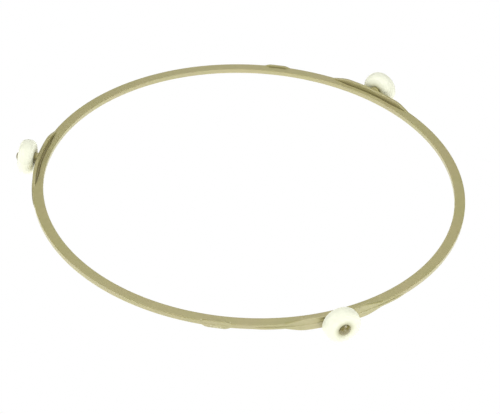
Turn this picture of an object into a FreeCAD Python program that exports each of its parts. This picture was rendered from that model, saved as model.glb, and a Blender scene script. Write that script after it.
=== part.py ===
import FreeCAD, Part
import math
import os

V = FreeCAD.Vector

# Roller ring of a microwave turntable: a flat moulded ring with three radial
# stub axles, and a roller on each axle, held by the axle's snap head.
# Millimetres, +Z up. The origin is on the ring's axis, at the level of the
# surface that the rollers run on.

# ---------------------------------------------------------------- dimensions
WHEEL_D = 16.0            # roller diameter
Z_AXLE = WHEEL_D / 2      # height of the axles
AXLE_RISE = 0.85          # height of the axles above the ring's mid-plane

RING_RO = 95.0            # ring, outer radius
RING_RI = 90.35           # ring, inner radius
RING_H = 2.2              # ring, height of its flat section
RING_EDGE = 0.35          # rounding of the section's corners

WHEEL_AZ = (60.0, 180.0, 300.0)   # directions of the axles
TAB_AZ = (90.0, 270.0)            # directions of the two gate pads

# Raised wall that carries each axle. It stands above and below the ring's
# rim, and its lower half stands a little further out, so a ledge runs along
# the parting plane. The lower half's outer face runs on past the wall as a
# low skirt.
WALL_RI = 93.75           # inner face of the wall
WALL_RO_UP = 95.12        # outer face, upper half
WALL_RO_LOW = 95.32       # outer face, lower half
WALL_HALF_H = 2.85        # half height about the mid-plane
WALL_UP_A = (9.1, 13.5)   # half angles where the upper ramps begin and run out
WALL_LOW_A = (8.7, 13.2)  # half angles where the lower ramps begin and run out
SKIRT_A = (17.5, 21.0)    # half angles where the skirt's outer face leaves its radius and ends
SKIRT_H = 0.98            # depth of the skirt below the mid-plane
SKIRT_EDGE = 0.20         # rounding along the skirt's bottom
WALL_SIDE_R = 12.0        # easing of the top where a ramp begins
WALL_EDGE = 0.30          # rounding along the wall's top and bottom

# Cored groove between the wall and the inner rail, blind from both sides.
GROOVE_RI = 92.60
GROOVE_DEPTH = 0.65       # below the ring's flat faces
GROOVE_A1 = 7.6           # half angle of the full-width stretch
GROOVE_A2 = 12.0          # half angle of the pointed ends

# Gate pads: the same form, smaller.
TAB_RI = 94.00
TAB_RO_UP = 95.10
TAB_RO_LOW = 95.16
TAB_HALF_H = 1.78
TAB_A = (2.30, 3.80)
TAB_SIDE_R = 2.5
TAB_EDGE = 0.20
TAB_GROOVE_RI = 93.30
TAB_GROOVE_DEPTH = 0.45
TAB_GROOVE_A = 2.45

# Roller, measured along its axle from the ring's axis.
WHEEL_R_IN = 96.55        # inner face
WHEEL_W = 6.50            # width
WHEEL_EDGE = 2.30         # rounding between tread and faces
WHEEL_CROWN = 0.15        # fall of the tread from its middle to its edges
BORE_R = 2.15             # running clearance 0.05 on the shaft
BORE_CHAMFER = 0.15       # at the inner face
BORE_EDGE = 0.45          # rounding of the bore at the outer face

# Stub axle, moulded with the ring.
COLLAR_R = 2.60           # shoulder that spaces the roller from the wall
END_PLAY = 0.15           # axial clearance at each face of the roller
SHAFT_R = 2.10
HEAD_R = 2.45             # domed snap head that holds the roller on
HEAD_IN = 102.95          # where the head's underside leaves the shaft
HEAD_SIDE = 103.25        # where the head is widest
HEAD_TIP = 104.90         # end of the dome
HEAD_FLAT = 0.30          # radius of the small flat at its tip

HALF = RING_H / 2
FAR = 2.0                 # overlap of construction solids


# ---------------------------------------------------------------- helpers
def pol(r, deg, z=0.0):
    a = math.radians(deg)
    return V(r * math.cos(a), r * math.sin(a), z)


def seg(p, q):
    return Part.LineSegment(p, q).toShape()


def arc3(p, m, q):
    return Part.Arc(p, m, q).toShape()


def arc(r, a0, a1, z=0.0):
    return arc3(pol(r, a0, z), pol(r, 0.5 * (a0 + a1), z), pol(r, a1, z))


def face(edges):
    return Part.Face(Part.Wire(edges))


def turn(shape, deg):
    s = shape.copy()
    s.rotate(V(0, 0, 0), V(0, 0, 1), deg)
    return s


def lift(shape, dz):
    s = shape.copy()
    s.translate(V(0, 0, dz))
    return s


def flip(shape):
    # mirror image below the mid-plane
    return shape.mirror(V(0, 0, 0), V(0, 0, 1))


def revolve_x(edges):
    # edges lie in the XZ plane, z as the radius about the X axis
    return face(edges).revolve(V(0, 0, 0), V(1, 0, 0), 360)


def xz(u, rho):
    return V(u, 0, rho)


# ---------------------------------------------------------------- ring section
def ring_body():
    e = RING_EDGE
    k = e * (1 - math.sqrt(0.5))
    i, o, h = RING_RI, RING_RO, HALF
    edges = [
        seg(V(i + e, 0, -h), V(o - e, 0, -h)),
        arc3(V(o - e, 0, -h), V(o - k, 0, -h + k), V(o, 0, -h + e)),
        seg(V(o, 0, -h + e), V(o, 0, h - e)),
        arc3(V(o, 0, h - e), V(o - k, 0, h - k), V(o - e, 0, h)),
        seg(V(o - e, 0, h), V(i + e, 0, h)),
        arc3(V(i + e, 0, h), V(i + k, 0, h - k), V(i, 0, h - e)),
        seg(V(i, 0, h - e), V(i, 0, -h + e)),
        arc3(V(i, 0, -h + e), V(i + k, 0, -h + k), V(i + e, 0, -h)),
    ]
    return face(edges).revolve(V(0, 0, 0), V(0, 0, 1), 360)


# ---------------------------------------------------------------- raised walls
def eased(solid, radius, points, direction):
    """Rounds the straight edges of a prism that pass through the given points."""
    picked = []
    for ed in solid.Edges:
        if abs(ed.tangentAt(ed.FirstParameter).dot(direction)) < 0.999:
            continue
        p = ed.Vertexes[0].Point
        for q in points:
            d = p - q
            if (d - direction * d.dot(direction)).Length < 0.01:
                picked.append(ed)
    return solid.makeFillet(radius, picked)


def run_out(ro, a1, end_r, a2):
    """Arc that leaves the circle ro smoothly at a1 and ends at (end_r, a2)."""
    p, q = pol(ro, a1), pol(end_r, a2)
    u = pol(1.0, a1)
    d = (ro ** 2 - end_r ** 2) / (2 * (ro - q.dot(u)))
    c = u * d
    m = (p - c) + (q - c)
    return arc3(p, c + m * ((ro - d) / m.Length), q)


def wall_plan(ri, ro, ends, height):
    """Strip about direction 0 whose outer face runs in the ring at both ends."""
    end_r = RING_RO - 0.06
    a1, a2 = ends
    return face([
        arc(ro, -a1, a1),
        run_out(ro, a1, end_r, a2),
        seg(pol(end_r, a2), pol(ri, a2)),
        arc(ri, a2, -a2),
        seg(pol(ri, -a2), pol(end_r, -a2)),
        run_out(ro, -a1, end_r, -a2),
    ]).extrude(V(0, 0, height))


def half_wall(ri, ro, half_h, ramp, ends, side_r, edge):
    """Upper half of a raised wall about direction 0, from the mid-plane up.

    In side view its top falls along straight ramps into the ring. The bends
    are eased, so the top's long edges run smoothly over them.
    """
    plan = wall_plan(ri, ro, ends, half_h + FAR)
    y1 = RING_RO * math.sin(math.radians(ramp[0]))
    y2 = RING_RO * math.sin(math.radians(ramp[1]))
    slope = (half_h - (HALF - 0.10)) / (y2 - y1)
    y3 = y2 + FAR
    low = half_h - slope * (y3 - y1)
    pts = [V(80, -y3, -FAR), V(80, y3, -FAR), V(80, y3, low),
           V(80, y1, half_h), V(80, -y1, half_h), V(80, -y3, low)]
    side = face([seg(pts[n], pts[(n + 1) % len(pts)]) for n in range(len(pts))])
    side = eased(side.extrude(V(30, 0, 0)), side_r,
                 [V(80, y1, half_h), V(80, -y1, half_h)], V(1, 0, 0))
    body = plan.common(side).Solids[0]
    base = Part.makeBox(40, 80, half_h + FAR, V(70, -40, 0))
    # round the long edges of the top, along the ramps too
    picked = []
    for ed in body.Edges:
        mid = ed.valueAt(0.5 * (ed.FirstParameter + ed.LastParameter))
        d = ed.tangentAt(0.5 * (ed.FirstParameter + ed.LastParameter))
        if abs(d.y) > 0.6 and mid.z > 0.4 * HALF:
            picked.append(ed)
    return body.makeFillet(edge, picked).common(base).Solids[0]


def skirt():
    """Low strip at the foot of a wall's outer face, about direction 0, from the mid-plane up."""
    body = wall_plan(WALL_RI, WALL_RO_LOW, SKIRT_A, SKIRT_H)
    picked = []
    for ed in body.Edges:
        p = ed.valueAt(0.5 * (ed.FirstParameter + ed.LastParameter))
        d = ed.tangentAt(0.5 * (ed.FirstParameter + ed.LastParameter))
        if abs(d.y) > 0.6 and p.z > 0.9 * SKIRT_H and math.hypot(p.x, p.y) > RING_RO - 0.5:
            picked.append(ed)
    return body.makeFillet(SKIRT_EDGE, picked)


# ---------------------------------------------------------------- grooves
# Each groove is sunk wider than it shows: the wall then stands in its outer
# side, so the groove ends at the wall's inner face.
def wall_groove():
    # the inner side runs straight from the full width to a point on the wall
    t = 1.12
    tip = pol(GROOVE_RI, GROOVE_A1) + (pol(WALL_RI, GROOVE_A2) - pol(GROOVE_RI, GROOVE_A1)) * t
    tip2 = V(tip.x, -tip.y, 0)
    far = WALL_RI + 0.7
    end = math.degrees(math.atan2(tip.y, tip.x))
    plan = face([
        seg(tip2, pol(GROOVE_RI, -GROOVE_A1)),
        arc(GROOVE_RI, -GROOVE_A1, GROOVE_A1),
        seg(pol(GROOVE_RI, GROOVE_A1), tip),
        seg(tip, pol(far, end)),
        arc(far, end, -end),
        seg(pol(far, -end), tip2),
    ])
    plan.translate(V(0, 0, HALF - GROOVE_DEPTH))
    return plan.extrude(V(0, 0, FAR))


def tab_groove():
    a = TAB_GROOVE_A
    far = TAB_RI + 0.4
    plan = face([
        arc(TAB_GROOVE_RI, -a, a),
        seg(pol(TAB_GROOVE_RI, a), pol(far, a)),
        arc(far, a, -a),
        seg(pol(far, -a), pol(TAB_GROOVE_RI, -a)),
    ])
    plan.translate(V(0, 0, HALF - TAB_GROOVE_DEPTH))
    return plan.extrude(V(0, 0, FAR))


# ---------------------------------------------------------------- stub axle
def axle():
    c = 0.10
    collar_end = WHEEL_R_IN - END_PLAY
    # dome: circle through the head's widest place, square to the axis near the tip
    h = HEAD_TIP - HEAD_SIDE
    rad = (HEAD_R ** 2 + h ** 2) / (2 * h)
    cx = HEAD_TIP - rad
    a0 = math.asin(HEAD_R / rad)
    a1 = math.asin(HEAD_FLAT / rad)
    mid = 0.5 * (a0 + a1)
    tip = cx + rad * math.cos(a1)
    root = WALL_RO_UP - 0.30      # inside the wall, clear of its top's inner edge
    return revolve_x([
        seg(xz(root, 0), xz(root, COLLAR_R)),
        seg(xz(root, COLLAR_R), xz(collar_end - c, COLLAR_R)),
        seg(xz(collar_end - c, COLLAR_R), xz(collar_end, COLLAR_R - c)),
        seg(xz(collar_end, COLLAR_R - c), xz(collar_end, SHAFT_R)),
        seg(xz(collar_end, SHAFT_R), xz(HEAD_IN, SHAFT_R)),
        seg(xz(HEAD_IN, SHAFT_R), xz(HEAD_SIDE, HEAD_R)),
        arc3(xz(HEAD_SIDE, HEAD_R),
             xz(cx + rad * math.cos(mid), rad * math.sin(mid)),
             xz(tip, HEAD_FLAT)),
        seg(xz(tip, HEAD_FLAT), xz(tip, 0)),
        seg(xz(tip, 0), xz(root, 0)),
    ])


# ---------------------------------------------------------------- roller
def roller():
    r = WHEEL_D / 2
    i, o = WHEEL_R_IN, WHEEL_R_IN + WHEEL_W
    e, c, q = WHEEL_EDGE, BORE_CHAMFER, BORE_EDGE
    k, m = e * (1 - math.sqrt(0.5)), q * (1 - math.sqrt(0.5))
    rt = r - WHEEL_CROWN          # tread radius where the roundings begin
    mid = 0.5 * (i + o)
    return revolve_x([
        seg(xz(i, BORE_R + c), xz(i + c, BORE_R)),
        seg(xz(i + c, BORE_R), xz(o - q, BORE_R)),
        arc3(xz(o - q, BORE_R), xz(o - m, BORE_R + m), xz(o, BORE_R + q)),
        seg(xz(o, BORE_R + q), xz(o, rt - e)),
        arc3(xz(o, rt - e), xz(o - k, rt - k), xz(o - e, rt)),
        arc3(xz(o - e, rt), xz(mid, r), xz(i + e, rt)),
        arc3(xz(i + e, rt), xz(i + k, rt - k), xz(i, rt - e)),
        seg(xz(i, rt - e), xz(i, BORE_R + c)),
    ])


# ---------------------------------------------------------------- assembly
ring = ring_body()
walls = []
grooves = []
for az in WHEEL_AZ:
    up = half_wall(WALL_RI, WALL_RO_UP, WALL_HALF_H, WALL_UP_A, WALL_UP_A, WALL_SIDE_R, WALL_EDGE)
    low = half_wall(WALL_RI, WALL_RO_LOW, WALL_HALF_H, WALL_LOW_A, SKIRT_A, WALL_SIDE_R, WALL_EDGE)
    walls += [turn(up, az), turn(flip(low), az), turn(flip(skirt()), az)]
    g = wall_groove()
    grooves += [turn(g, az), turn(flip(g), az)]
for az in TAB_AZ:
    up = half_wall(TAB_RI, TAB_RO_UP, TAB_HALF_H, TAB_A, TAB_A, TAB_SIDE_R, TAB_EDGE)
    low = half_wall(TAB_RI, TAB_RO_LOW, TAB_HALF_H, TAB_A, TAB_A, TAB_SIDE_R, TAB_EDGE)
    walls += [turn(up, az), turn(flip(low), az)]
    g = tab_groove()
    grooves += [turn(g, az), turn(flip(g), az)]

for s in grooves:
    ring = ring.cut(s)
for s in walls:
    ring = ring.fuse(s)
for az in WHEEL_AZ:
    ring = ring.fuse(turn(lift(axle(), AXLE_RISE), az))
ring = lift(ring.removeSplitter(), Z_AXLE - AXLE_RISE)

pieces = {"ring": ring}
for n, az in enumerate(WHEEL_AZ):
    pieces["roller_%d" % (n + 1)] = lift(turn(roller(), az), Z_AXLE)

os.makedirs("parts", exist_ok=True)
for name, shape in pieces.items():
    if len(shape.Solids) == 1:
        shape = shape.Solids[0]
    shape.exportStep("parts/%s.step" % name)
    bb = shape.BoundBox
    print("%-10s valid %s solids %d volume %.1f  x %.2f..%.2f y %.2f..%.2f z %.2f..%.2f" % (
        name, shape.isValid(), len(shape.Solids), shape.Volume,
        bb.XMin, bb.XMax, bb.YMin, bb.YMax, bb.ZMin, bb.ZMax))
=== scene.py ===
import math

import bmesh
import bpy
import numpy as np
from mathutils import Matrix, Vector


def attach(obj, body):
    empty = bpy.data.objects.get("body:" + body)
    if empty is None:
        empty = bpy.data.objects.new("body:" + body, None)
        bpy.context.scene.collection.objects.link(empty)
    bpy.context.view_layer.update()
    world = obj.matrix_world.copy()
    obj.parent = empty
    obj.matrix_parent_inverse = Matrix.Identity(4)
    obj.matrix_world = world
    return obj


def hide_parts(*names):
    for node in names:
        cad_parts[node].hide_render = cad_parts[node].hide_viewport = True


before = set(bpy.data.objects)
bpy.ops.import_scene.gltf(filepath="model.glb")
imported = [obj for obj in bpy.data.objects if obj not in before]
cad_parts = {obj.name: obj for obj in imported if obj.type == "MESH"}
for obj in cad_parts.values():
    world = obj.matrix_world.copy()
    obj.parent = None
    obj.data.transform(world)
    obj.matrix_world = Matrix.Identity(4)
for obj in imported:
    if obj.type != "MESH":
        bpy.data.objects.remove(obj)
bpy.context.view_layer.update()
scene = bpy.context.scene

# ---------------------------------------------------------------- dimensions
# Millimetres, as in the part. The meshes are scaled to metres when they are made.
MM = 0.001
WHEEL_D = 16.0
Z_AXLE = WHEEL_D / 2
AXLE_RISE = 0.85          # of the axles above the ring's mid-plane
Z_RING = Z_AXLE - AXLE_RISE
RI, RO, HALF, EDGE = 90.35, 95.0, 1.1, 0.35
WHEEL_AZ = (60.0, 180.0, 300.0)
TAB_AZ = (90.0, 270.0)

WALL_RI, WALL_RO_UP, WALL_RO_LOW = 93.75, 95.12, 95.32
WALL_H, WALL_EDGE = 2.85, 0.30
WALL_UP_A, WALL_LOW_A, SKIRT_A = (9.1, 13.5), (8.7, 13.2), (17.5, 21.0)
GROOVE_RI, GROOVE_DEPTH, GROOVE_A1, GROOVE_A2 = 92.60, 0.65, 7.6, 12.0
TAB_RI, TAB_RO_UP, TAB_RO_LOW = 94.00, 95.10, 95.16
TAB_H, TAB_EDGE, TAB_A = 1.78, 0.20, (2.30, 3.80)
TAB_GROOVE_RI, TAB_GROOVE_DEPTH, TAB_GROOVE_A = 93.30, 0.45, 2.45
WITNESS = 0.025           # height of the fine line that the mould's parting leaves

WHEEL_R_IN, WHEEL_W, WHEEL_EDGE, WHEEL_CROWN = 96.55, 6.50, 2.30, 0.15
BORE_R, BORE_CHAMFER, BORE_EDGE = 2.15, 0.15, 0.45
COLLAR_R, COLLAR_C, END_PLAY, SHAFT_R = 2.60, 0.10, 0.15, 2.10
HEAD_R, HEAD_IN, HEAD_SIDE, HEAD_TIP, HEAD_FLAT = 2.45, 102.95, 103.25, 104.90, 0.30


# ---------------------------------------------------------------- helpers
def smin(a, b, k):
    """The lower of two profiles, with their crossing rounded."""
    h = np.clip(0.5 + 0.5 * (b - a) / k, 0.0, 1.0)
    return b * (1 - h) + a * h - k * h * (1 - h)


def smax(a, b, k):
    return -smin(-a, -b, k)


def step(a, b, x):
    t = np.clip((x - a) / (b - a), 0.0, 1.0)
    return t * t * (3 - 2 * t)


def offset(az, centres):
    """Distance in degrees to the nearest of some directions."""
    d = [np.abs((az - c + 180.0) % 360.0 - 180.0) for c in centres]
    return np.min(d, axis=0)


def chord(a, r1, a1, r2, a2):
    """Radius at angle a of the straight line from (r1, a1) to (r2, a2)."""
    a, a1, a2 = np.radians(a), math.radians(a1), math.radians(a2)
    p = np.array([r1 * math.cos(a1), r1 * math.sin(a1)])
    q = np.array([r2 * math.cos(a2), r2 * math.sin(a2)])
    d = q - p
    den = np.cos(a) * d[1] - np.sin(a) * d[0]
    den = np.where(np.abs(den) < 1e-9, 1e-9, den)
    return (p[0] * d[1] - p[1] * d[0]) / den


def make_object(name, verts, faces, material):
    me = bpy.data.meshes.new(name)
    me.from_pydata([tuple(v) for v in verts], [], [tuple(f) for f in faces])
    me.validate()
    bm = bmesh.new()
    bm.from_mesh(me)
    bmesh.ops.recalc_face_normals(bm, faces=bm.faces)
    bm.to_mesh(me)
    bm.free()
    o = bpy.data.objects.new(name, me)
    scene.collection.objects.link(o)
    me.materials.append(material)
    return o


def smooth(o, deg=32.0):
    """Smooth shading with crisp edges, and flats that stay flat."""
    me = o.data
    me.polygons.foreach_set("use_smooth", [True] * len(me.polygons))
    me.set_sharp_from_angle(angle=math.radians(deg))
    w = o.modifiers.new("weighted", "WEIGHTED_NORMAL")
    w.keep_sharp = True
    w.weight = 60


def lathe(profile, segments):
    """Closed profile of (u, rho) turned about the X axis. Points with rho 0 become poles."""
    verts, rings = [], []
    for u, rho in profile:
        if rho < 1e-9:
            rings.append([len(verts)] * segments)
            verts.append((u, 0.0, 0.0))
        else:
            ids = []
            for k in range(segments):
                a = 2 * math.pi * k / segments
                ids.append(len(verts))
                verts.append((u, rho * math.cos(a), rho * math.sin(a)))
            rings.append(ids)
    faces = []
    n = len(rings)
    for i in range(n):
        a, b = rings[i], rings[(i + 1) % n]
        if a[0] == a[1] and b[0] == b[1]:
            continue
        for k in range(segments):
            j = (k + 1) % segments
            f = [a[k], a[j], b[j], b[k]]
            faces.append([v for m, v in enumerate(f) if v not in f[:m]])
    return verts, faces


def arc_points(c, r, d0, d1, n):
    return [(c[0] + r * math.cos(math.radians(d0 + (d1 - d0) * k / n)),
             c[1] + r * math.sin(math.radians(d0 + (d1 - d0) * k / n))) for k in range(n + 1)]


def arc_through(p, m, q, n):
    """Points on the circle through p, m and q, from p to q."""
    (ax, ay), (bx, by), (cx, cy) = p, m, q
    d = 2 * (ax * (by - cy) + bx * (cy - ay) + cx * (ay - by))
    ux = ((ax * ax + ay * ay) * (by - cy) + (bx * bx + by * by) * (cy - ay) + (cx * cx + cy * cy) * (ay - by)) / d
    uy = ((ax * ax + ay * ay) * (cx - bx) + (bx * bx + by * by) * (ax - cx) + (cx * cx + cy * cy) * (bx - ax)) / d
    r = math.hypot(ax - ux, ay - uy)
    t0, tm, t1 = (math.atan2(y - uy, x - ux) for x, y in (p, m, q))
    turn = (t1 - t0) % (2 * math.pi)
    if (tm - t0) % (2 * math.pi) > turn:
        turn -= 2 * math.pi
    return [(ux + r * math.cos(t0 + turn * k / n), uy + r * math.sin(t0 + turn * k / n)) for k in range(n + 1)]


# ---------------------------------------------------------------- materials
def new_material(name):
    m = bpy.data.materials.new(name)
    m.use_nodes = True
    nt = m.node_tree
    nt.nodes.clear()
    out = nt.nodes.new("ShaderNodeOutputMaterial")
    bsdf = nt.nodes.new("ShaderNodeBsdfPrincipled")
    nt.links.new(bsdf.outputs["BSDF"], out.inputs["Surface"])
    return m, nt, bsdf


def noise(nt, vector, scale, detail=2.0, rough=0.5):
    n = nt.nodes.new("ShaderNodeTexNoise")
    n.inputs["Scale"].default_value = scale
    n.inputs["Detail"].default_value = detail
    n.inputs["Roughness"].default_value = rough
    nt.links.new(vector, n.inputs["Vector"])
    return n.outputs["Fac"]


def ramp(nt, fac, stops):
    r = nt.nodes.new("ShaderNodeValToRGB")
    el = r.color_ramp.elements
    while len(el) < len(stops):
        el.new(0.5)
    for e, (pos, col) in zip(el, stops):
        e.position = pos
        e.color = (*col, 1) if len(col) == 3 else col
    nt.links.new(fac, r.inputs["Fac"])
    return r.outputs["Color"]


def mix_color(nt, fac, a, b, kind="MIX"):
    m = nt.nodes.new("ShaderNodeMix")
    m.data_type = "RGBA"
    m.blend_type = kind
    for sock, v in ((m.inputs[0], fac), (m.inputs[6], a), (m.inputs[7], b)):
        if isinstance(v, (int, float)):
            sock.default_value = v
        elif isinstance(v, tuple):
            sock.default_value = (*v, 1)
        else:
            nt.links.new(v, sock)
    return m.outputs[2]


def math_node(nt, op, a, b=0.0, clamp=False):
    m = nt.nodes.new("ShaderNodeMath")
    m.operation = op
    m.use_clamp = clamp
    for sock, v in ((m.inputs[0], a), (m.inputs[1], b)):
        if isinstance(v, (int, float)):
            sock.default_value = v
        else:
            nt.links.new(v, sock)
    return m.outputs[0]


# lighter flecks on the front pad, as (azimuth, radius, height, size)
PAD_FLECKS = ((266.27, 94.42, Z_RING + HALF, 0.60), (267.00, 93.95, Z_RING + HALF, 0.60), (273.38, 93.90, Z_RING + HALF, 0.55),
          (268.80, 95.16, Z_RING - 0.73, 0.50), (269.60, 95.16, Z_RING - 1.15, 0.50), (270.05, 95.16, Z_RING - 1.15, 0.50),
          (270.50, 95.16, Z_RING - 1.13, 0.50), (271.20, 95.16, Z_RING - 1.00, 0.45))


def ring_material():
    m, nt, b = new_material("ring_plastic")
    co = nt.nodes.new("ShaderNodeTexCoord").outputs["Object"]
    # broad drift between a greener and a browner olive, then finer mottling
    base = ramp(nt, noise(nt, co, 75.0, 3.0), [(0.34, (0.341, 0.316, 0.127)), (0.66, (0.358, 0.316, 0.141))])
    fine = noise(nt, co, 420.0, 3.0, 0.6)
    base = mix_color(nt, 0.3, base, ramp(nt, fine, [(0.3, (0.44, 0.44, 0.44)), (0.7, (0.56, 0.56, 0.56))]), "OVERLAY")
    # painted shade on the stub axles: the collar, where shade falls between wall and roller, and the shaft and head
    # are multiplied darker
    xyz = nt.nodes.new("ShaderNodeSeparateXYZ")
    nt.links.new(co, xyz.inputs[0])
    r = math_node(nt, "SQRT", math_node(nt, "ADD", math_node(nt, "MULTIPLY", xyz.outputs[0], xyz.outputs[0]),
                                        math_node(nt, "MULTIPLY", xyz.outputs[1], xyz.outputs[1])))
    axle_shade = math_node(nt, "MULTIPLY", math_node(nt, "SUBTRACT", r, 0.09545), 1 / 0.0004, True)
    shaft = math_node(nt, "MULTIPLY", math_node(nt, "SUBTRACT", r, 0.0965), 1 / 0.0004, True)
    axle_shade = math_node(nt, "ADD", math_node(nt, "MULTIPLY", axle_shade, 0.72), math_node(nt, "MULTIPLY", shaft, 0.28))
    base = mix_color(nt, axle_shade, base, (0.46, 0.43, 0.20), "MULTIPLY")
    # painted shade in the cored grooves, below the ring's flat faces
    deep = math_node(nt, "SUBTRACT", HALF * MM, math_node(nt, "ABSOLUTE", math_node(nt, "SUBTRACT", xyz.outputs[2], Z_RING * MM)))
    deep = math_node(nt, "MULTIPLY", math_node(nt, "SUBTRACT", deep, 0.00010), 1 / 0.0003, True)
    inside = math_node(nt, "MULTIPLY", math_node(nt, "SUBTRACT", r, 0.0920), 1 / 0.0002, True)
    outside = math_node(nt, "MULTIPLY", math_node(nt, "SUBTRACT", 0.0943, r), 1 / 0.0002, True)
    painted_shade = math_node(nt, "MULTIPLY", deep, math_node(nt, "MULTIPLY", inside, outside))
    base = mix_color(nt, painted_shade, base, (0.66, 0.63, 0.57), "MULTIPLY")
    # lighter flecks mixed into the colour of the front pad
    fleck = None
    for az, rad, z, size in PAD_FLECKS:
        a = math.radians(az)
        near = nt.nodes.new("ShaderNodeVectorMath")
        near.operation = "DISTANCE"
        near.inputs[1].default_value = (rad * MM * math.cos(a), rad * MM * math.sin(a), z * MM)
        nt.links.new(co, near.inputs[0])
        spot = math_node(nt, "SUBTRACT", 1.0, math_node(nt, "MULTIPLY", near.outputs["Value"], 1 / (size * MM)), True)
        fleck = spot if fleck is None else math_node(nt, "MAXIMUM", fleck, spot)
    rag = noise(nt, co, 2600.0, 2.0)
    fleck = math_node(nt, "ADD", fleck, math_node(nt, "MULTIPLY", rag, 0.6))
    fleck = math_node(nt, "MULTIPLY", math_node(nt, "SUBTRACT", fleck, 0.55), 1.6, True)
    base = mix_color(nt, fleck, base, (0.60, 0.575, 0.38))
    nt.links.new(base, b.inputs["Base Color"])
    rough = ramp(nt, noise(nt, co, 900.0, 2.0), [(0.3, (0.34, 0.34, 0.34)), (0.7, (0.46, 0.46, 0.46))])
    rough = mix_color(nt, axle_shade, rough, (0.38, 0.38, 0.38))
    nt.links.new(rough, b.inputs["Roughness"])
    b.inputs["IOR"].default_value = 1.68
    b.inputs["Specular IOR Level"].default_value = 0.64
    bump = nt.nodes.new("ShaderNodeBump")
    bump.inputs["Strength"].default_value = 0.04
    bump.inputs["Distance"].default_value = 0.00004
    nt.links.new(noise(nt, co, 3800.0, 3.0), bump.inputs["Height"])
    nt.links.new(bump.outputs["Normal"], b.inputs["Normal"])
    return m


def roller_material():
    m, nt, b = new_material("roller_plastic")
    co = nt.nodes.new("ShaderNodeTexCoord").outputs["Object"]
    base = ramp(nt, noise(nt, co, 260.0, 3.0), [(0.3, (0.765, 0.777, 0.630)), (0.7, (0.785, 0.797, 0.650))])
    # painted shade round the bore, where shade falls about the axle head and near the collar
    xyz = nt.nodes.new("ShaderNodeSeparateXYZ")
    nt.links.new(co, xyz.inputs[0])
    rho = math_node(nt, "SQRT", math_node(nt, "ADD", math_node(nt, "MULTIPLY", xyz.outputs[1], xyz.outputs[1]),
                                          math_node(nt, "MULTIPLY", xyz.outputs[2], xyz.outputs[2])))
    painted_shade = ramp(nt, math_node(nt, "MULTIPLY", rho, 1 / 0.006),
                 [(0.42, (0.52, 0.50, 0.38)), (0.50, (0.66, 0.64, 0.54)), (0.60, (0.82, 0.81, 0.74)),
                  (0.72, (0.93, 0.93, 0.90)), (0.88, (1.0, 1.0, 1.0))])
    base = mix_color(nt, 1.0, base, painted_shade, "MULTIPLY")
    nt.links.new(base, b.inputs["Base Color"])
    rough = ramp(nt, noise(nt, co, 700.0, 2.0), [(0.3, (0.46, 0.46, 0.46)), (0.7, (0.56, 0.56, 0.56))])
    nt.links.new(rough, b.inputs["Roughness"])
    b.inputs["IOR"].default_value = 1.44
    return m


RING = ring_material()
ROLLER = roller_material()


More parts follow.
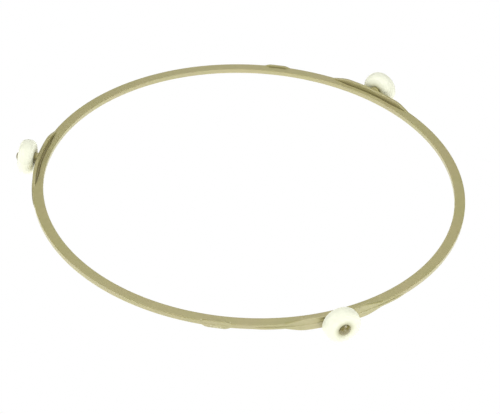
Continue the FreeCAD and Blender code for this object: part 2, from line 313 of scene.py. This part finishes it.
# ---------------------------------------------------------------- ring
def ring_mesh():
    """The flat ring with its walls, grooves and gate pads, as one closed skin of quads."""
    az = set(np.round(np.arange(0, 360, 1.0), 3))
    for c in WHEEL_AZ:
        az |= set(np.round((c + np.arange(-15.0, 15.001, 0.25)) % 360, 3))
        az |= set(np.round((c + np.arange(-22.0, 22.001, 0.5)) % 360, 3))
    for c in TAB_AZ:
        az |= set(np.round((c + np.arange(-4.6, 4.601, 0.1)) % 360, 3))
    az = np.array(sorted(az))
    w, t = offset(az, WHEEL_AZ), offset(az, TAB_AZ)

    def side(a, level, ends, k):
        """Height of a wall whose top falls along ramps, above the mid-plane."""
        y = RO * np.sin(np.radians(np.minimum(a, 60.0)))
        y1, y2 = (RO * math.sin(math.radians(e)) for e in ends)
        slope = (level - (HALF - 0.10)) / (y2 - y1)
        return smin(np.full_like(a, level), level - slope * (y - y1), k)

    def plan(a, level, ends):
        """Radius of a wall's outer face, which runs in the ring along arcs."""
        a1, a2 = ends
        end = RO - 0.06
        d = (level ** 2 - end ** 2) / (2 * (level - end * math.cos(math.radians(a2 - a1))))
        q = np.radians(np.clip(a - a1, 0.0, a2 - a1))
        return d * np.cos(q) + np.sqrt((level - d) ** 2 - (d * np.sin(q)) ** 2)

    def heights(wall_ends):
        v = np.maximum(side(w, WALL_H, wall_ends, 0.55), side(t, TAB_H, TAB_A, 0.25))
        v = smax(v, np.full_like(v, HALF), 0.06)
        return np.where((w > wall_ends[1] + 1) & (t > TAB_A[1] + 1), HALF, v)

    h_up, h_low = heights(WALL_UP_A), heights(WALL_LOW_A)
    up = np.maximum(plan(w, WALL_RO_UP, WALL_UP_A), plan(t, TAB_RO_UP, TAB_A))
    low = np.maximum(plan(w, WALL_RO_LOW, SKIRT_A), plan(t, TAB_RO_LOW, TAB_A))
    up, low = (smax(v, np.full_like(v, RO), 0.03) for v in (up, low))

    wi = WALL_RI + (TAB_RI - WALL_RI) * step(6.4, 4.6, t)
    # width and depth of the groove behind the wall
    gr = np.where(w <= GROOVE_A1, GROOVE_RI, chord(np.minimum(w, 14.0), GROOVE_RI, GROOVE_A1, WALL_RI, GROOVE_A2))
    width = np.where(w < GROOVE_A2, WALL_RI - gr, 0.0)
    depth = GROOVE_DEPTH * step(0.02, 0.22, width)
    width = np.where(t < TAB_GROOVE_A + 0.25, TAB_RI - TAB_GROOVE_RI, width)
    depth = np.where(t < TAB_GROOVE_A + 0.25, TAB_GROOVE_DEPTH * step(TAB_GROOVE_A + 0.06, TAB_GROOVE_A - 0.06, t), depth)
    gw = np.maximum(width, 0.12)
    gr = wi - gw
    s = np.clip(depth / 0.2, 0.0, 1.0)

    one = np.ones_like(az)

    def half(ro, h):
        tw = np.clip((h - HALF) / 0.30, 0.0, 1.0)
        e_in = np.minimum(np.where(t < 6, TAB_EDGE, WALL_EDGE), 0.45 * (h - HALF))
        e_out = EDGE + (np.where(t < 6, TAB_EDGE, WALL_EDGE) - EDGE) * tw
        pts = [(RI * one - WITNESS, 0.03 * one), (RI * one, 0.10 * one), (RI * one, 0.40 * one)]
        for d in (180, 157.5, 135, 112.5, 90):
            c, q = math.cos(math.radians(d)), math.sin(math.radians(d))
            pts.append(((RI + EDGE + EDGE * c) * one, (HALF - EDGE + EDGE * q) * one))
        first = RI + EDGE
        pts.append((first + (gr - first) * 0.35, HALF * one))
        pts.append((first + (gr - first) * 0.70, HALF * one))
        pts.append((gr - 0.07, HALF * one))
        pts.append((gr + 0.0 * one, HALF - 0.06 * s))
        pts.append((gr + 0.10 * gw, HALF - depth + 0.10 * s))
        pts.append((gr + 0.25 * gw, HALF - depth))
        pts.append((wi - 0.25 * gw, HALF - depth))
        pts.append((wi - 0.08 * gw, HALF - depth + 0.10 * s))
        pts.append((wi, HALF * one))
        for k, d in enumerate((0, 30, 60, 90)):
            c, q = math.cos(math.radians(d)), math.sin(math.radians(d))
            pts.append((wi + e_in * (1 - c) + 0.04 * (k + 1) * (1 - tw), h - e_in * (1 - q)))
        last = wi + e_in + 0.16 * (1 - tw)
        pts.append((0.5 * (last + ro - e_out), h))
        for d in (90, 67.5, 45, 22.5, 0):
            c, q = math.cos(math.radians(d)), math.sin(math.radians(d))
            pts.append((ro - e_out + e_out * c, h - e_out + e_out * q))
        pts.append((ro, 0.40 * (h - e_out) + 0.06))
        pts.append((ro, 0.11 * one))
        pts.append((ro + WITNESS, 0.035 * one))
        return pts

    loop = half(up, h_up) + [(r, -z) for r, z in reversed(half(low, h_low))]
    r = np.array([p[0] for p in loop]).T
    z = np.array([p[1] for p in loop]).T
    a = np.radians(az)[:, None]
    co = np.stack([r * np.cos(a), r * np.sin(a), z + Z_RING], 2)
    n, k = r.shape
    i, j = np.meshgrid(np.arange(n), np.arange(k), indexing="ij")
    i2, j2 = (i + 1) % n, (j + 1) % k
    faces = np.stack([i * k + j, i2 * k + j, i2 * k + j2, i * k + j2], 2).reshape(-1, 4)
    return co.reshape(-1, 3) * MM, faces.tolist()


def axle_profile():
    """The stub axle from inside the wall to the tip of its snap head, as (r, rho)."""
    collar_end = WHEEL_R_IN - END_PLAY
    h = HEAD_TIP - HEAD_SIDE
    rad = (HEAD_R ** 2 + h ** 2) / (2 * h)
    cx = HEAD_TIP - rad
    a0, a1 = (math.degrees(math.asin(v / rad)) for v in (HEAD_R, HEAD_FLAT))
    dome = arc_points((cx, 0.0), rad, a0, a1, 16)
    root = WALL_RO_UP - 0.30
    return ([(root, 0.0), (root, COLLAR_R), (collar_end - COLLAR_C, COLLAR_R), (collar_end, COLLAR_R - COLLAR_C),
             (collar_end, SHAFT_R), (HEAD_IN, SHAFT_R)]
            + dome + [(dome[-1][0], 0.0)])


def boolean_union(target, tools):
    for o in tools:
        b = target.modifiers.new("join", "BOOLEAN")
        b.operation = "UNION"
        b.solver = "EXACT"
        b.object = o
    dg = bpy.context.evaluated_depsgraph_get()
    me = bpy.data.meshes.new_from_object(target.evaluated_get(dg))
    # no slivers or faces without area along the joins
    bm = bmesh.new()
    bm.from_mesh(me)
    bmesh.ops.remove_doubles(bm, verts=bm.verts[:], dist=1e-6)
    bmesh.ops.triangulate(bm, faces=[f for f in bm.faces if len(f.verts) > 4])
    bmesh.ops.dissolve_degenerate(bm, edges=bm.edges[:], dist=1e-6)
    bm.to_mesh(me)
    bm.free()
    target.modifiers.clear()
    target.data = me
    for o in tools:
        bpy.data.objects.remove(o)


verts, faces = ring_mesh()
ring = make_object("roller_ring", verts, faces, RING)
stubs = []
for n, az in enumerate(WHEEL_AZ):
    v, f = lathe(axle_profile(), 72)
    m = Matrix.Translation((0, 0, Z_AXLE * MM)) @ Matrix.Rotation(math.radians(az), 4, "Z") @ Matrix.Scale(MM, 4)
    stubs.append(make_object("stub_%d" % n, [m @ Vector(p) for p in v], f, RING))
bpy.context.view_layer.update()
boolean_union(ring, stubs)
smooth(ring)
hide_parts("ring")
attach(ring, "ring")


# ---------------------------------------------------------------- rollers
def roller_profile():
    """Section of a roller as (u, rho), u along the axle from the roller's middle."""
    i, o = -WHEEL_W / 2, WHEEL_W / 2
    r, e, c, q = WHEEL_D / 2, WHEEL_EDGE, BORE_CHAMFER, BORE_EDGE
    rt = r - WHEEL_CROWN
    pts = [(i, BORE_R + c), (i + c, BORE_R)]
    pts += [(i + c + (o - i - c - q) * k / 5, BORE_R) for k in range(1, 5)]
    pts += arc_points((o - q, BORE_R + q), q, -90, 0, 10)
    pts += [(o, BORE_R + q + (rt - e - BORE_R - q) * k / 4) for k in range(1, 4)]
    pts += arc_points((o - e, rt - e), e, 0, 90, 18)
    tread = arc_through((o - e, rt), (0.0, r), (i + e, rt), 12)
    pts += tread[1:-1]
    pts += arc_points((i + e, rt - e), e, 90, 180, 18)
    pts += [(i, rt - e + (BORE_R + c - rt + e) * k / 4) for k in range(1, 4)]
    return pts


for n, az in enumerate(WHEEL_AZ):
    v, f = lathe(roller_profile(), 128)
    o = make_object("white_roller_%d" % (n + 1), [Vector(p) * MM for p in v], f, ROLLER)
    o.matrix_world = (Matrix.Rotation(math.radians(az), 4, "Z")
                      @ Matrix.Translation(((WHEEL_R_IN + WHEEL_W / 2) * MM, 0, Z_AXLE * MM)))
    smooth(o)
    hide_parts("roller_%d" % (n + 1))
    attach(o, "roller_%d" % (n + 1))


# ---------------------------------------------------------------- floor
def seen_and_cast(nt, shader, seen, cast):
    """White that the camera sees at one strength, and that lights the part at another."""
    path = nt.nodes.new("ShaderNodeLightPath")
    mix = nt.nodes.new("ShaderNodeMix")
    mix.inputs[2].default_value = cast
    mix.inputs[3].default_value = seen
    nt.links.new(path.outputs["Is Camera Ray"], mix.inputs[0])
    nt.links.new(mix.outputs[0], shader.inputs["Strength"])


FLOOR_CAST = 1.70
SKY_CAST = 0.0
m = bpy.data.materials.new("floor_white")
m.use_nodes = True
nt = m.node_tree
nt.nodes.clear()
out = nt.nodes.new("ShaderNodeOutputMaterial")
glow = nt.nodes.new("ShaderNodeEmission")
nt.links.new(glow.outputs[0], out.inputs["Surface"])
seen_and_cast(nt, glow, 1.0, FLOOR_CAST)
mesh = bpy.data.meshes.new("floor")
s = 0.6
mesh.from_pydata([(-s, -s, 0), (s, -s, 0), (s, s, 0), (-s, s, 0)], [], [(0, 1, 2, 3)])
floor = bpy.data.objects.new("floor", mesh)
floor.data.materials.append(m)
scene.collection.objects.link(floor)
floor.location.z = -0.0001

# ---------------------------------------------------------------- light
world = bpy.data.worlds.new("studio")
world.use_nodes = True
bg = world.node_tree.nodes["Background"]
bg.inputs["Color"].default_value = (1, 1, 1, 1)
seen_and_cast(world.node_tree, bg, 1.0, SKY_CAST)
scene.world = world


def softbox(name, az, el, watts, size=0.6, dist=1.0):
    """Round soft light that faces the part from a direction and a height, in degrees."""
    d = bpy.data.lights.new(name, "AREA")
    d.shape = "DISK"
    d.size = size
    d.energy = watts
    o = bpy.data.objects.new(name, d)
    scene.collection.objects.link(o)
    a, e = math.radians(az), math.radians(el)
    way = Vector((math.cos(a) * math.cos(e), math.sin(a) * math.cos(e), math.sin(e)))
    o.location = way * dist
    o.rotation_euler = (-way).to_track_quat("-Z", "Y").to_euler()
    o.visible_camera = False
    return o


softbox("softbox_right", 343.0, 60.0, 6.6)
softbox("softbox_left", 203.0, 38.0, 4.9)
softbox("softbox_back", 96.0, 62.0, 1.7)
softbox("softbox_low", 96.0, 15.0, 1.0)
softbox("softbox_front", 276.0, 50.0, 0.8)
softbox("softbox_front_low", 298.0, 14.0, 2.4, 0.4)
softbox("softbox_left_low", 200.0, 7.0, 1.3, 0.4)

# ---------------------------------------------------------------- camera
FOCAL = 1950.14           # in pixels of the 500 wide frame
DIST = 9.03717 * RO * MM
ELEV = math.radians(36.8513)
ROLL = math.radians(3.0421)
PAN = math.radians(-0.0289)
TILT = math.radians(0.7114)
TURN = math.radians(6.335)

c = Vector((0, -DIST * math.cos(ELEV), DIST * math.sin(ELEV)))
fwd = -c.normalized()
right = fwd.cross(Vector((0, 0, 1))).normalized()
up = right.cross(fwd)
r2 = right * math.cos(ROLL) + up * math.sin(ROLL)
u2 = up * math.cos(ROLL) - right * math.sin(ROLL)
# turned by the small pan, then by the small tilt
r3 = r2 * math.cos(PAN) + fwd * math.sin(PAN)
f3 = fwd * math.cos(PAN) - r2 * math.sin(PAN)
u4 = u2 * math.cos(TILT) + f3 * math.sin(TILT)
f4 = f3 * math.cos(TILT) - u2 * math.sin(TILT)
# half a pixel to the right and down
eps = 0.5 / FOCAL
r5 = (r3 + f4 * eps).normalized()
f5 = (f4 - r3 * eps).normalized()
u5 = (u4 - f5 * eps).normalized()
f5 = (f5 + u4 * eps).normalized()
rot = Matrix((r5, u5, -f5)).transposed().to_4x4()
cam_data = bpy.data.cameras.new("camera")
cam_data.sensor_width = 36.0
cam_data.lens = FOCAL * 36.0 / 500.0
cam_data.clip_start = 0.01
cam = bpy.data.objects.new("camera", cam_data)
scene.collection.objects.link(cam)
cam.matrix_world = Matrix.Rotation(TURN, 4, "Z") @ Matrix.Translation(c) @ rot
cam.location.z += (Z_RING + HALF) * MM
scene.camera = cam
scene.view_settings.view_transform = "Standard"
